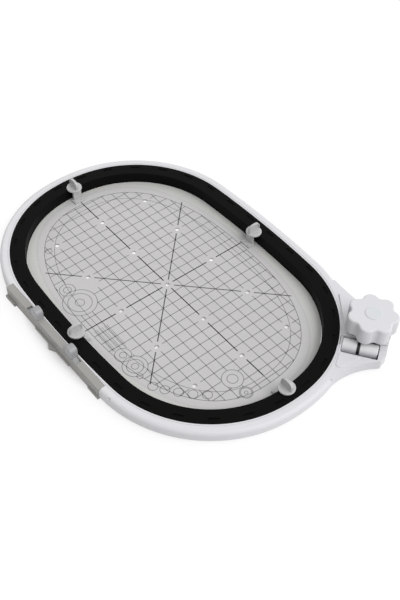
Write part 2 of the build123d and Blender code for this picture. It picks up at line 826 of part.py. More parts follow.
# Cross pin with its sleeve, barrel and washer
with BuildPart() as clevis_pin:
    with BuildSketch(cross_plane(pin_inner_end)):
        Circle(pin_radius)
    extrude(amount=pin_outer_end - pin_inner_end)
    chamfer(clevis_pin.edges().filter_by(GeomType.CIRCLE), length=pin_radius / 6)
finish_part(clevis_pin, "clevis_pin")
cross_pieces = (
    ("pin_sleeve", sleeve_inner, link_inner - side_gap, barrel_radius),
    ("pin_barrel", link_inner + link_thickness + side_gap, barrel_outer, barrel_radius),
    (
        "pin_washer",
        barrel_outer + side_gap,
        barrel_outer + side_gap + pin_washer_thickness,
        pin_washer_radius,
    ),
)
for name, start, end, radius in cross_pieces:
    with BuildPart() as cross_piece:
        with BuildSketch(cross_plane(start)):
            Circle(radius)
            Circle(pin_radius + running_clearance, mode=Mode.SUBTRACT)
        extrude(amount=end - start)
        if radius == barrel_radius:
            rims = cross_piece.edges().filter_by(GeomType.CIRCLE)
            fillet(rims.filter_by(lambda edge: edge.radius > pin_radius + fit_gap), radius=barrel_round)
    finish_part(cross_piece, name)

# Inner hoop: a black ribbed channel, with a groove for its grip band and slots in its deck
with BuildPart() as inner_hoop:
    with BuildSketch(Plane.XY.offset(inner_hoop_bottom)):
        oval(0)
        oval(-inner_hoop_width, mode=Mode.SUBTRACT)
    extrude(amount=inner_hoop_top - inner_hoop_bottom)
    fillet(inner_hoop.edges().group_by(Axis.Z)[-1], radius=inner_edge_round)
    with BuildSketch(Plane.XY.offset(inner_hoop_bottom)):
        oval(-inner_hoop_wall)
        oval(inner_hoop_wall - inner_hoop_width, mode=Mode.SUBTRACT)
        with Locations(*stations(-inner_hoop_width / 2, rib_count)):
            Rectangle(inner_hoop_width, inner_rib_thickness, mode=Mode.SUBTRACT)
    extrude(amount=inner_hoop_top - inner_hoop_bottom - inner_hoop_deck, mode=Mode.SUBTRACT)
    with BuildSketch(Plane.XY.offset(grip_band_bottom)):
        oval(0)
        oval(-grip_band_thickness, mode=Mode.SUBTRACT)
    extrude(amount=grip_band_height, mode=Mode.SUBTRACT)
    with BuildSketch(Plane.XY.offset(inner_hoop_top)):
        with Locations(*stations(-deck_slot_inset, deck_slot_count)):
            SlotOverall(deck_slot_length, deck_slot_width, rotation=90)
    extrude(amount=-deck_slot_depth, mode=Mode.SUBTRACT)
finish_part(inner_hoop, "inner_hoop")

# Soft grip band round the inner hoop, which holds the cloth against the outer hoop
with BuildPart() as inner_hoop_grip_band:
    with BuildSketch(Plane.XY.offset(grip_band_bottom + press_clearance)):
        oval(0)
        oval(press_clearance - grip_band_thickness, mode=Mode.SUBTRACT)
    extrude(amount=grip_band_height - 2 * press_clearance)
finish_part(inner_hoop_grip_band, "inner_hoop_grip_band")

# Places of the four clips: beside the inner hoop's wall, turned to face outwards
wall_x = hoop_half_length - inner_hoop_width
wall_y = hoop_half_width - inner_hoop_width
clip_places = {
    "near": Location((clip_long_side_shift, clip_shift_y - wall_y, plate_top), (0, 0, -90)),
    "far": Location((clip_long_side_shift, clip_shift_y + wall_y, plate_top), (0, 0, 90)),
    "left": Location((clip_shift_x - wall_x, clip_end_shift, plate_top), (0, 0, 180)),
    "right": Location((clip_shift_x + wall_x, clip_end_shift, plate_top), (0, 0, 0)),
}
rivet_places = [(rivet_place, side * rivet_spacing / 2) for side in (-1, 1)]


def placed(local_points):
    """Places on the plate of points given beside each clip, for all four clips."""
    spots = []
    for location in clip_places.values():
        for point in local_points:
            spot = (location * Location((point[0], point[1], 0))).position
            spots.append((spot.X, spot.Y))
    return spots


# Template plate with its marking holes and the clips' rivet holes
with BuildPart() as template_plate:
    with BuildSketch(Plane.XY.offset(plate_bottom)):
        oval(-inner_hoop_width - plate_gap)
        with Locations((print_shift_x, print_shift_y)):
            with GridLocations(mark_pitch, mark_pitch, mark_columns, mark_rows):
                Circle(mark_hole_radius, mode=Mode.SUBTRACT)
        with Locations(*placed(rivet_places)):
            Circle(rivet_radius + press_clearance, mode=Mode.SUBTRACT)
    extrude(amount=plate_thickness)
finish_part(template_plate, "template_plate")

# Template clips: a foot riveted to the plate, an upright neck, a round pad that lies over the inner
# hoop and a dished finger grip on the pad
pad_bottom = inner_hoop_top + clip_seat_gap - plate_top
pad_top = pad_bottom + clip_thickness
grip_top = clip_fin_top - plate_top
for side, location in clip_places.items():
    with BuildPart() as template_clip:
        with BuildSketch(Plane.XY.offset(pad_bottom)):
            with Locations((clip_disc_place, 0)):
                Circle(clip_disc_radius)
        extrude(amount=clip_thickness)
        fillet(template_clip.edges(), radius=clip_edge_round)
        # Foot and neck
        with BuildSketch():
            with Locations((clip_neck_place, 0)):
                Rectangle(
                    clip_neck_place - clip_foot_end,
                    clip_foot_width,
                    align=(Align.MAX, Align.CENTER),
                )
        extrude(amount=clip_foot_height)
        with BuildSketch():
            with Locations((clip_neck_place, 0)):
                Rectangle(clip_thickness, clip_neck_width, align=(Align.MAX, Align.CENTER))
        extrude(amount=pad_top - clip_edge_round)
        with BuildSketch():
            with Locations(*rivet_places):
                Circle(rivet_radius + press_clearance)
        extrude(amount=clip_foot_height, mode=Mode.SUBTRACT)
        # Finger grip, round-shouldered, with a dish in each face
        with BuildSketch(Plane.XZ) as grip:
            with Locations((clip_fin_start, pad_top - clip_edge_round)):
                Rectangle(
                    clip_fin_end - clip_fin_start,
                    grip_top - pad_top + clip_edge_round,
                    align=(Align.MIN, Align.MIN),
                )
            fillet(grip.vertices().group_by(Axis.Y)[-1], radius=clip_fin_round)
        extrude(amount=clip_fin_thickness / 2, both=True)
        for face in (-1, 1):
            with BuildSketch(Plane.XZ.offset(face * clip_fin_thickness / 2)) as dish:
                with Locations((clip_fin_start + clip_fin_rim, pad_top + clip_fin_rim)):
                    Rectangle(
                        clip_fin_end - clip_fin_start - 2 * clip_fin_rim,
                        grip_top - pad_top - 2 * clip_fin_rim,
                        align=(Align.MIN, Align.MIN),
                    )
                fillet(dish.vertices().group_by(Axis.Y)[-1], radius=clip_fin_round - clip_fin_rim)
            extrude(amount=-face * clip_dish_depth, mode=Mode.SUBTRACT)
    template_clip.part.locate(location)
    finish_part(template_clip, "template_clip_" + side)

# Rivets through the plate and the clips' feet
with BuildPart() as clip_rivets:
    with BuildSketch(Plane.XY.offset(plate_bottom)):
        with Locations(*placed(rivet_places)):
            Circle(rivet_radius)
    extrude(amount=plate_thickness + clip_foot_height)
    with BuildSketch(Plane.XY.offset(plate_top + clip_foot_height)):
        with Locations(*placed(rivet_places)):
            Circle(rivet_head_radius)
    extrude(amount=rivet_head_height)
finish_part(clip_rivets, "clip_rivets")

# Connector body: the channel that the release levers slide in, with the sockets for the arm's pegs
with BuildPart() as connector_body:
    with BuildSketch():
        with Locations((connector_x, connector_front_y)):
            Rectangle(
                2 * connector_half_length,
                hoop_wall_y - fit_gap - connector_front_y,
                align=(Align.CENTER, Align.MIN),
            )
    extrude(amount=cover_underside)
    with BuildSketch(Plane.XY.offset(connector_floor)):
        with Locations((connector_x, channel_front)):
            Rectangle(
                2 * (connector_half_length - connector_end_block),
                hoop_wall_y - channel_front,
                align=(Align.CENTER, Align.MIN),
            )
    extrude(amount=cover_underside, mode=Mode.SUBTRACT)
    with BuildSketch():
        with Locations(*[(connector_x + end * socket_place, socket_y) for end in (-1, 1)]):
            Circle(socket_radius)
    extrude(amount=socket_depth, mode=Mode.SUBTRACT)
    # Pads along the foot of the front wall, and the arrow that marks its middle
    with BuildSketch():
        with Locations((connector_left, connector_front_y)):
            Rectangle(connector_end_block, end_pad_reach, align=(Align.MIN, Align.MAX))
        with Locations((connector_right, connector_front_y)):
            Rectangle(connector_end_block, centre_pad_reach, align=(Align.MAX, Align.MAX))
        with Locations((connector_x - centre_pad_left, connector_front_y)):
            Rectangle(
                centre_pad_left + centre_pad_right,
                centre_pad_reach,
                align=(Align.MIN, Align.MAX),
            )
        with BuildLine():
            Polyline(
                (connector_x + arrow_shift - arrow_half_width, connector_front_y - centre_pad_reach),
                (connector_x + arrow_shift, connector_front_y - centre_pad_reach - arrow_reach),
                (connector_x + arrow_shift + arrow_half_width, connector_front_y - centre_pad_reach),
                close=True,
            )
        make_face()
    extrude(amount=pad_height)
    # Slots in the floor for the levers' latch noses
    with BuildSketch():
        for side in (-1, 1):
            slot_middle = lever_nose_place - lever_travel / 2
            with Locations((connector_x + side * slot_middle, screw_y)):
                Rectangle(
                    lever_nose_length + lever_travel + 2 * fit_gap,
                    lever_nose_width + 2 * fit_gap,
                )
    extrude(amount=connector_floor, mode=Mode.SUBTRACT)
    # Clearance for the screws and their heads
    with BuildSketch():
        with Locations(*[(x, screw_y) for x in lug_xs]):
            Circle(screw_hole_radius)
    extrude(amount=connector_floor, mode=Mode.SUBTRACT)
    with BuildSketch():
        with Locations(*[(x, screw_y) for x in lug_xs]):
            Circle(body_screw_head_radius + side_gap)
    extrude(amount=body_screw_head_height + side_gap, mode=Mode.SUBTRACT)
finish_part(connector_body, "connector_body")

# Connector cover: the plate over the levers, with a window for each
window_depth = connector_inner_y - connector_front_y - window_back_lip - window_front_lip
with BuildPart() as connector_cover:
    with BuildSketch(Plane.XY.offset(cover_underside)):
        with Locations((connector_x, connector_front_y)):
            Rectangle(
                2 * connector_half_length,
                connector_inner_y - connector_front_y,
                align=(Align.CENTER, Align.MIN),
            )
    extrude(amount=connector_cover_thickness)
    top_front = connector_cover.edges().filter_by(Axis.X).group_by(Axis.Z)[-1].sort_by(Axis.Y)[0]
    fillet(top_front, radius=connector_edge_round)
    with BuildSketch(Plane.XY.offset(cover_underside)):
        for side in (-1, 1):
            middle = connector_x + side * (window_start + window_end) / 2
            with Locations((middle, connector_front_y + window_front_lip)):
                Rectangle(
                    window_end - window_start,
                    window_depth,
                    align=(Align.CENTER, Align.MIN),
                )
    extrude(amount=connector_cover_thickness, mode=Mode.SUBTRACT)
    with BuildSketch(Plane.XY.offset(cover_underside)):
        with Locations(*[(x, screw_y) for x in lug_xs]):
            Circle(body_screw_radius + press_clearance)
    extrude(amount=body_screw_top - cover_underside + side_gap, mode=Mode.SUBTRACT)
finish_part(connector_cover, "connector_cover")

# Screws that clamp the connector's body, the hoop's lugs and the cover together
with BuildPart() as connector_screws:
    with BuildSketch(Plane.XY.offset(side_gap)):
        with Locations(*[(x, screw_y) for x in lug_xs]):
            Circle(body_screw_radius)
    extrude(amount=body_screw_top - side_gap)
    with BuildSketch(Plane.XY.offset(side_gap)):
        with Locations(*[(x, screw_y) for x in lug_xs]):
            Circle(body_screw_head_radius)
    extrude(amount=body_screw_head_height - side_gap)
finish_part(connector_screws, "connector_screws")

# Release levers: sliding bars with a finger tab above the cover and a latch nose below
bar_front = channel_front + body_clearance
bar_back = hoop_wall_y - body_clearance
neck_front = connector_front_y + window_front_lip + body_clearance
neck_back = connector_inner_y - window_back_lip - body_clearance
tab_front = connector_front_y + fit_gap
tab_back = -hoop_half_width - body_clearance
tab_bottom = outer_hoop_height + body_clearance
tab_middle = lever_tab_start + lever_tab_thickness / 2
for side, name in ((-1, "left"), (1, "right")):
    spring_plane = Plane(origin=(connector_x, screw_y, lever_middle_z), z_dir=(side, 0, 0))
    tab_end = lever_tab_start + lever_tab_thickness + side * lever_tab_shift
    with BuildPart() as release_lever:
        # Finger tab, arched on top
        with BuildSketch(Plane.XY.offset(tab_bottom)):
            with Locations((connector_x + lever_tab_shift + side * tab_middle, tab_front)):
                Rectangle(lever_tab_thickness, tab_back - tab_front, align=(Align.CENTER, Align.MIN))
        extrude(amount=lever_tab_top - tab_bottom)
        arch_edges = release_lever.edges().group_by(Axis.Z)[-1].filter_by(Axis.Y)
        fillet(arch_edges, radius=lever_tab_round)
        tab_rims = release_lever.faces().sort_by(Axis.Y)[0].edges()
        tab_rims = tab_rims + release_lever.faces().sort_by(Axis.Y)[-1].edges()
        fillet(tab_rims.filter_by(lambda edge: edge.center().Z > tab_bottom + fit_gap), lever_tab_edge_round)
        # Neck and ramp in the window
        with BuildSketch(Plane.XZ.offset(-neck_back)):
            with BuildLine():
                Polyline(
                    (connector_x + side * lever_neck_start, lever_middle_z),
                    (connector_x + side * lever_neck_start, tab_bottom),
                    (connector_x + side * tab_end, tab_bottom),
                    (connector_x + side * tab_end, lever_ramp_high),
                    (connector_x + side * (window_end - body_clearance), lever_ramp_low),
                    (connector_x + side * (window_end - body_clearance), lever_middle_z),
                    close=True,
                )
            make_face()
        extrude(amount=neck_back - neck_front)
        # Bar in the channel, trimmed clear of its walls, and the latch nose below
        with BuildSketch(Plane.XY.offset(lever_bar_bottom)):
            with Locations((connector_x + side * (lever_bar_start + lever_bar_end) / 2, screw_y)):
                Rectangle(lever_bar_end - lever_bar_start, bar_back - bar_front)
        extrude(amount=lever_bar_top - lever_bar_bottom)
        with BuildSketch(Plane.XY.offset(lever_nose_bottom)):
            with Locations((connector_x + side * lever_nose_place, screw_y)):
                Rectangle(lever_nose_length, lever_nose_width)
        extrude(amount=lever_middle_z - lever_nose_bottom)
        # Pocket for the return spring
        with BuildSketch(spring_plane.offset(lever_bar_start)):
            Circle(spring_radius + body_clearance)
        extrude(amount=spring_pocket_depth, mode=Mode.SUBTRACT)
    finish_part(release_lever, "release_lever_" + name)
    with BuildPart() as lever_spring:
        with BuildSketch(spring_plane.offset(spring_start)):
            Circle(spring_radius)
            Circle(spring_radius - spring_wire, mode=Mode.SUBTRACT)
        extrude(amount=lever_bar_start + spring_reach - spring_start)
    finish_part(lever_spring, "lever_spring_" + name)
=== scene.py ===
import bpy
import numpy as np
from mathutils import Matrix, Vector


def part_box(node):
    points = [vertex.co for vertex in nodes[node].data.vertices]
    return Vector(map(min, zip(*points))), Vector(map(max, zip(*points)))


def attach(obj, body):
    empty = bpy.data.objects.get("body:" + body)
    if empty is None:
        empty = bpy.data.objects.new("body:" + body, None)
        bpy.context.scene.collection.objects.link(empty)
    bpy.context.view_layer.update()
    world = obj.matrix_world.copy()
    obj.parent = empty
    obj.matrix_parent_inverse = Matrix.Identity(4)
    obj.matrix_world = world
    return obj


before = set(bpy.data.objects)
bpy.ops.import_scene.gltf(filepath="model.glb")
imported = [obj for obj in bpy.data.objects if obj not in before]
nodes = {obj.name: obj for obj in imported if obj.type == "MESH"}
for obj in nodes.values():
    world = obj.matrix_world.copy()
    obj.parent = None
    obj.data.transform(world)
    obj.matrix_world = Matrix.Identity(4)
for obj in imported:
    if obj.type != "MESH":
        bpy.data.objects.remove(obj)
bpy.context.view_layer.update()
MM = 0.001


# Outer hoop and lock cover: the white split ring with its two ears, and the plate and turret over
# the lock. Injection moulded in a satin white plastic, with a fine spark-eroded mould grain, faint
# flow marks and a few rubbed scuffs from going on and off the machine.
class Shade:
    """A socket of a material's nodes as a value: each operator on it adds a Math node."""

    def __init__(self, tree, socket=None):
        self.tree = tree
        self.socket = socket

    def node(self, kind, settings, inputs, output=0):
        """Adds a node, sets its settings and then its sockets, and gives its output, or a list of
        its outputs where output names several."""
        made = self.tree.nodes.new(kind)
        for key, value in settings.items():
            setattr(made, key, value)
        for key, value in inputs.items():
            if isinstance(value, Shade):
                self.tree.links.new(value.socket, made.inputs[key])
            else:
                made.inputs[key].default_value = value
        if isinstance(output, tuple):
            return [Shade(self.tree, made.outputs[key]) for key in output]
        return Shade(self.tree, made.outputs[output])

    def maths(self, operation, first, second=0.0):
        """A Math node's operation on two values."""
        return self.node("ShaderNodeMath", {"operation": operation}, {0: first, 1: second})

    def __add__(self, other):
        return self.maths("ADD", self, other)

    def __radd__(self, other):
        return self.maths("ADD", other, self)

    def __sub__(self, other):
        return self.maths("SUBTRACT", self, other)

    def __rsub__(self, other):
        return self.maths("SUBTRACT", other, self)

    def __mul__(self, other):
        return self.maths("MULTIPLY", self, other)

    def __rmul__(self, other):
        return self.maths("MULTIPLY", other, self)


def new_material(name):
    """An empty material and its tree, as a Shade that nodes are added through."""
    made = bpy.data.materials.new(name)
    made.use_nodes = True
    made.node_tree.nodes.clear()
    return made, Shade(made.node_tree)


def object_place(tree, stretch=(1, 1, 1), turn=(0, 0, 0)):
    """Object coordinates in metres, times a stretch along each axis and then turned, so that a
    noise read there runs in lines square to the axes of large stretch."""
    place = tree.node("ShaderNodeTexCoord", {}, {}, "Object")
    return tree.node(
        "ShaderNodeMapping",
        {"vector_type": "POINT"},
        {"Vector": place, "Scale": stretch, "Rotation": turn},
    )


def noise(tree, place, size, detail=2.0):
    """Noise from 0 to 1 whose blotches are about size metres across."""
    return tree.node(
        "ShaderNodeTexNoise",
        {},
        {"Vector": place, "Scale": 1 / size, "Detail": detail, "Roughness": 0.6},
    )


def ramp(tree, value, low, high):
    """0 at low, 1 at high, straight between them and level beyond them."""
    return tree.node("ShaderNodeMapRange", {}, {"Value": value, "From Min": low, "From Max": high})


def colour_mix(tree, share, first, second):
    """The colour that goes from first to second as share goes from 0 to 1."""
    return tree.node("ShaderNodeMix", {"data_type": "RGBA"}, {0: share, 6: first, 7: second}, 2)


def tint(tree, share, dark, light):
    """The colour between two written ones, dark at 0 and light at 1."""
    return colour_mix(tree, share, (*dark, 1), (*light, 1))


def close_material(made, tree, sockets, height, depth):
    """Ends a material in a Principled shader whose Normal comes from a bump of the given depth."""
    normal = tree.node("ShaderNodeBump", {}, {"Height": height, "Distance": depth, "Strength": 1.0})
    shader = tree.node("ShaderNodeBsdfPrincipled", {}, {**sockets, "Normal": normal})
    surface = made.node_tree.nodes.new("ShaderNodeOutputMaterial")
    made.node_tree.links.new(shader.socket, surface.inputs["Surface"])
    return made


def moulded_plastic(name, colour, grain, depth, roughness, shine, uneven=0.03):
    """Satin moulded plastic: 0.7 of the cloudy flow marks, 0.2 of the mould grain and 0.5 of the
    thin scuffs add up to a share, at which the colour is between (1 - uneven) and (1 + uneven)
    times itself. Flow and scuffs change the roughness; grain and scuffs stand out by depth."""
    flow_size = 35 * MM
    flow_stretch = (1, 1, 2.5)
    scuff_size = 12 * MM
    scuff_stretch = (14, 1, 1)
    scuff_turn = (0.3, 0.2, 0.9)
    scuff_levels = (0.66, 0.78)
    made, tree = new_material(name)
    grains = noise(tree, object_place(tree), grain, 3.0)
    flow = noise(tree, object_place(tree, flow_stretch), flow_size)
    drag = noise(tree, object_place(tree, scuff_stretch, scuff_turn), scuff_size, 4.0)
    scuff = ramp(tree, drag, *scuff_levels)
    share = flow * 0.7 + grains * 0.2 + scuff * 0.5
    dark = [c * (1 - uneven) for c in colour]
    light = [c * (1 + uneven) for c in colour]
    sockets = {
        "Base Color": tint(tree, share, dark, light),
        "Roughness": roughness + (flow - 0.5) * 0.1 + scuff * 0.12,
        "Specular IOR Level": shine,
    }
    return close_material(made, tree, sockets, grains + scuff * 0.6, depth)


def dress(material, *names):
    """Gives CAD nodes a material in place of their plain one."""
    for name in names:
        mesh = nodes[name].data
        mesh.materials.clear()
        mesh.materials.append(material)


white_plastic = moulded_plastic(
    "white_plastic", (0.7, 0.7, 0.725), grain=0.6 * MM, depth=0.02 * MM, roughness=0.42, shine=0.4
)
dress(white_plastic, "outer_hoop", "lock_cover", "lock_knob")

# Lock cap: the pale cap in the knob's top, moulded a shade bluer than the knob. It snaps into its
# seat and hides the knob's screw.
cap_plastic = moulded_plastic(
    "cap_plastic", (0.67, 0.69, 0.715), grain=0.4 * MM, depth=0.01 * MM, roughness=0.34, shine=0.45
)
dress(cap_plastic, "knob_cap")

# Bearing bushes: two rings of unfilled acetal that the lock's spindle turns in. They are cut on a
# lathe and pressed into the ear and the turret.
bush_plastic = moulded_plastic(
    "bush_plastic", (0.55, 0.55, 0.53), grain=0.3 * MM, depth=0.01 * MM, roughness=0.38, shine=0.5
)
dress(bush_plastic, "lock_bush_lower", "lock_bush_upper")


# Lock and connector steel: screws, spindle, cam, draw link, pins, roller, washers and springs.
# Bright drawn steel with fine draw lines; the link and the washer on the cross pin are blackened.
def drawn_steel(name, colour, roughness, stretch):
    """Steel whose colour goes from 0.8 of itself to itself, by half fine draw lines and half cloudy
    oil marks. The lines also roughen it."""
    line_size = 0.25 * MM
    line_turn = (0, 0, 0.61)
    line_depth = 0.006 * MM
    cloud_size = 6 * MM
    made, tree = new_material(name)
    lines = noise(tree, object_place(tree, stretch, line_turn), line_size, 3.0)
    cloud = noise(tree, object_place(tree), cloud_size)
    sockets = {
        "Base Color": tint(tree, lines * 0.5 + cloud * 0.5, [c * 0.8 for c in colour], colour),
        "Metallic": 1.0,
        "Roughness": roughness + lines * 0.18,
    }
    return close_material(made, tree, sockets, lines, line_depth)


bright_steel = drawn_steel(
    "bright_steel", (0.62, 0.62, 0.62), roughness=0.22, stretch=(0.12, 1, 1)
)
dress(
    bright_steel,
    "lock_cover_screws",
    "knob_thrust_washer",
    "knob_screw",
    "lock_spindle",
    "lock_cam",
    "cam_pin",
    "link_follower_pin",
    "follower_roller",
    "clevis_pin",
    "connector_screws",
    "lever_spring_left",
    "lever_spring_right",
)
blackened_steel = drawn_steel(
    "blackened_steel", (0.05, 0.05, 0.05), roughness=0.4, stretch=(1, 1, 0.2)
)
dress(blackened_steel, "draw_link", "pin_washer")

# Cross barrel and sleeve: the two rollers beside the draw link on the cross pin. Both are moulded
# in a glossy white plastic and turn freely on the pin.
gloss_white = moulded_plastic(
    "gloss_white",
    (0.78, 0.78, 0.8),
    grain=0.5 * MM,
    depth=0.006 * MM,
    roughness=0.16,
    shine=0.6,
    uneven=0.02,
)
dress(gloss_white, "pin_barrel", "pin_sleeve")

# Inner hoop and its grip band: a deep black moulding with slots in its deck, and a matt rubber
# band in the groove of its outer wall, which grips the cloth.
black_plastic = moulded_plastic(
    "black_plastic",
    (0.004, 0.004, 0.0038),
    grain=0.7 * MM,
    depth=0.03 * MM,
    roughness=0.5,
    shine=0.04,
    uneven=0.25,
)
dress(black_plastic, "inner_hoop")
band_rubber = moulded_plastic(
    "band_rubber",
    (0.01, 0.01, 0.01),
    grain=0.3 * MM,
    depth=0.02 * MM,
    roughness=0.75,
    shine=0.2,
    uneven=0.2,
)
dress(band_rubber, "inner_hoop_grip_band")

# Template plate: a thin pale sheet with 15 marking holes, cut flat. Its face is satin and faintly
# cloudy; the margin is a little lighter beside the printed field and greener beyond a soft line.
# The field's edge is where (x / half length) ** power + (y / half width) ** power, its reach, is 1.
PLATE_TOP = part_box("template_plate")[1][2]
FIELD_MIDDLE = np.array((-0.45, -1.32)) * MM
FIELD_HALF = np.array((133.6, 84.1)) * MM
FIELD_POWER = 2.45
FIELD_EDGE = (0.99, 1.02)
SOFT_LINE = (1.13, 1.16)
MARGIN_EDGE = (1.16, 1.2)
made, tree = new_material("template_sheet")
place = object_place(tree)
cloud = noise(tree, place, 90 * MM, 3.0)
speck = noise(tree, place, 1.2 * MM, 4.0)
sides = tree.node("ShaderNodeSeparateXYZ", {}, {"Vector": place}, ("X", "Y"))
powers = []
for side, middle, half in zip(sides, FIELD_MIDDLE, FIELD_HALF):
    share = tree.maths("ABSOLUTE", (side - middle) * (1 / half))
    powers.append(tree.maths("POWER", share, FIELD_POWER))
reach = powers[0] + powers[1]
beside = ramp(tree, reach, *FIELD_EDGE)
margin = ramp(tree, reach, *MARGIN_EDGE)
soft_line = ramp(tree, reach, *SOFT_LINE) - margin
uneven = cloud * 0.8 + speck * 0.2
field_share = uneven + beside * 0.15 - soft_line * 0.35
field_colour = tint(tree, field_share, (0.49, 0.48, 0.48), (0.59, 0.58, 0.59))
margin_colour = tint(tree, uneven, (0.54, 0.54, 0.52), (0.62, 0.62, 0.6))
template_sheet = close_material(
    made,
    tree,
    {
        "Base Color": colour_mix(tree, margin, field_colour, margin_colour),
        "Roughness": 0.36 + cloud * 0.2,
        "Specular IOR Level": 0.35,
    },
    speck + cloud * 2.0,
    0.01 * MM,
)
dress(template_sheet, "template_plate")


# Template print: the sewing field's two outlines, its 10 mm grid, eight heavier lines from the
# middle and a few plain rings, screen printed in grey ink on the plate's face. The lines stop short
# of the marking holes, and the grid also leaves the discs in BARE free, most of them under rings.
INK_HEIGHT = 0.03 * MM
PRINT_SHIFT = np.array((-1.7, -0.92)) * MM
INNER_HALF = np.array((125.5, 75.0)) * MM
GRID_LINE = 0.7 * MM
OUTLINE = 0.6 * MM
INNER_OUTLINE = 0.5 * MM
RING_LINE = 0.6 * MM
SCALE_LINE = 0.4 * MM
SPOKE_LINE = 0.95 * MM
# The lengths and places from here to BARE are in millimetres, places from the print's middle. A
# ring or a bare disc is given by its middle's place along and across and by its radius.
GRID_STEP = 10
GRID_REACH = 200
HOLES = np.stack(np.meshgrid((-100, -50, 0, 50, 100), (-50, 0, 50)), 2).reshape(-1, 2)
HOLE_CLEAR = 5.5
SCALE_STEP = 2.5
SCALE_LEVELS = np.arange(-81, -67, SCALE_STEP)
SCALE_START = 5.0
SCALE_LENGTH = 27
SPOKE_ENDS = ((126, 0), (-140, 0), (0, 88), (0, -88), (77, 77), (-77, 77), (-77, -77), (77, -77))
RINGS = (
    (-29.3, -72.4, 15),
    (-29.3, -72.4, 10.5),
    (-29.3, -72.4, 4),
    (-48, -73, 7),
    (-48, -73, 3.5),
    (-98.3, -60, 3),
    (40, -76.7, 7),
    (40, -76.7, 3),
    (55.2, -75.8, 10.5),
    (55.2, -75.8, 7),
    (55.2, -75.8, 3),
    (65.7, -78.6, 2.5),
    (113.4, -21.8, 9),
    (113.4, -21.8, 4.5),
    (130.3, -22, 5.5),
    (130.3, -22, 4.5),
    (130.3, -22, 1.5),
    (80, -76.5, 4),
    (88.5, -71, 4),
    (97, -64, 4),
    (105.5, -56.2, 4),
    (113, -47.5, 4),
)
BARE = (
    (-45.6, -57.5, 13),
    (-29.3, -72.4, 15),
    (-48, -73, 8),
    (40, -76.7, 8),
    (55.2, -75.8, 10.5),
    (113.4, -21.8, 9),
    (130.3, -22, 5.5),
)


def field_rim(half, count):
    """Rounded oval through half its length and width, as points evenly spaced along it. The point
    at angle a lies at half * sign(cos a, sin a) * abs(cos a, sin a) ** (2 / FIELD_POWER)."""
    angle = np.linspace(0, 2 * np.pi, 4001)
    wave = np.stack((np.cos(angle), np.sin(angle)), 1)
    rim = half * np.sign(wave) * np.abs(wave) ** (2 / FIELD_POWER)
    along = np.append(0, np.cumsum(np.hypot(*np.diff(rim, axis=0).T)))
    even = np.linspace(0, along[-1], count + 1)[:-1]
    return np.stack([np.interp(even, along, rim[:, k]) for k in range(2)], 1)


def ink_bars(starts, ends, width, bare=BARE):
    """Flat bars from start to end. Each line is sampled evenly, its samples nearer than HOLE_CLEAR
    to a hole or inside a bare disc are left out, and every run of samples left becomes one bar:
    four corners to each side of the line by half the width, at the plate's face and at the ink's
    top."""
    share = np.linspace(0, 1, 401)[None, :, None]
    points = starts[:, None] * (1 - share) + ends[:, None] * share
    clear = np.ones(points.shape[:2], bool)
    for u, v, radius in [(u, v, HOLE_CLEAR) for u, v in HOLES] + list(bare):
        clear &= np.hypot(points[..., 0] - u * MM, points[..., 1] - v * MM) > radius * MM
    change = np.diff(np.pad(clear.astype(int), ((0, 0), (1, 1))), axis=1)
    line, first = np.nonzero(change == 1)
    last = np.nonzero(change == -1)[1] - 1
    keep = last > first
    starts = points[line, first][keep]
    ends = points[line, last][keep]
    way = ends - starts
    side = np.stack((-way[:, 1], way[:, 0]), 1) / np.hypot(*way.T)[:, None] * width / 2
    corners = np.stack((starts - side, ends - side, ends + side, starts + side), 1)
    low = np.dstack((corners, np.full(corners.shape[:2], 0.0)))
    high = np.dstack((corners, np.full(corners.shape[:2], INK_HEIGHT)))
    box_faces = np.array(
        [(3, 2, 1, 0), (4, 5, 6, 7), (0, 1, 5, 4), (1, 2, 6, 5), (2, 3, 7, 6), (3, 0, 4, 7)]
    )
    faces = box_faces[None] + 8 * np.arange(len(starts))[:, None, None]
    return np.concatenate((low, high), 1).reshape(-1, 3), faces.reshape(-1, 4)


def ink_loop(points, width):
    """A closed line of ink through the points: each point gives the four corners of a flat section
    square to the line there, and neighbouring sections are joined."""
    way = np.roll(points, -1, 0) - np.roll(points, 1, 0)
    side = np.stack((-way[:, 1], way[:, 0]), 1) / np.hypot(*way.T)[:, None] * width / 2
    flat = np.stack((points - side, points + side, points + side, points - side), 1)
    level = np.broadcast_to((0, 0, INK_HEIGHT, INK_HEIGHT), flat.shape[:2])
    here = np.arange(len(points))[:, None] * 4 + np.arange(4)
    there = np.roll(here, -1, 0)
    faces = np.stack((here, np.roll(here, -1, 1), np.roll(there, -1, 1), there), 2)
    return np.dstack((flat, level)).reshape(-1, 3), faces.reshape(-1, 4)


def ink_ring(middle, radius, width):
    """A circle of ink: 48 points at equal angles about its middle, in millimetres."""
    angle = np.linspace(0, 2 * np.pi, 49)[:-1]
    wave = np.stack((np.cos(angle), np.sin(angle)), 1)
    return ink_loop(np.array(middle) * MM + radius * MM * wave, width)


def grid_bars(half, width, axis):
    """Bars square to one axis at every grid step, cut off where they meet the oval's rim: the
    reach of the bar at a level is read from the rim's first quarter by linear interpolation. The
    bars that would only touch the rim's ends, past end_share of it, are left out."""
    end_share = 0.995
    rim = field_rim(half, 2000)
    middle = FIELD_MIDDLE - PRINT_SHIFT
    level = np.arange(-GRID_REACH, GRID_REACH + 1, GRID_STEP) * MM - middle[axis]
    level = level[np.abs(level) < half[axis] * end_share]
    quarter = rim[(rim[:, 0] >= 0) & (rim[:, 1] >= 0)]
    order = np.argsort(quarter[:, axis])
    reach = np.interp(np.abs(level), quarter[order, axis], quarter[order, 1 - axis])
    starts = np.zeros((len(level), 2))
    starts[:, axis] = level
    ends = starts.copy()
    starts[:, 1 - axis] = -reach
    ends[:, 1 - axis] = reach
    return ink_bars(starts + middle, ends + middle, width)


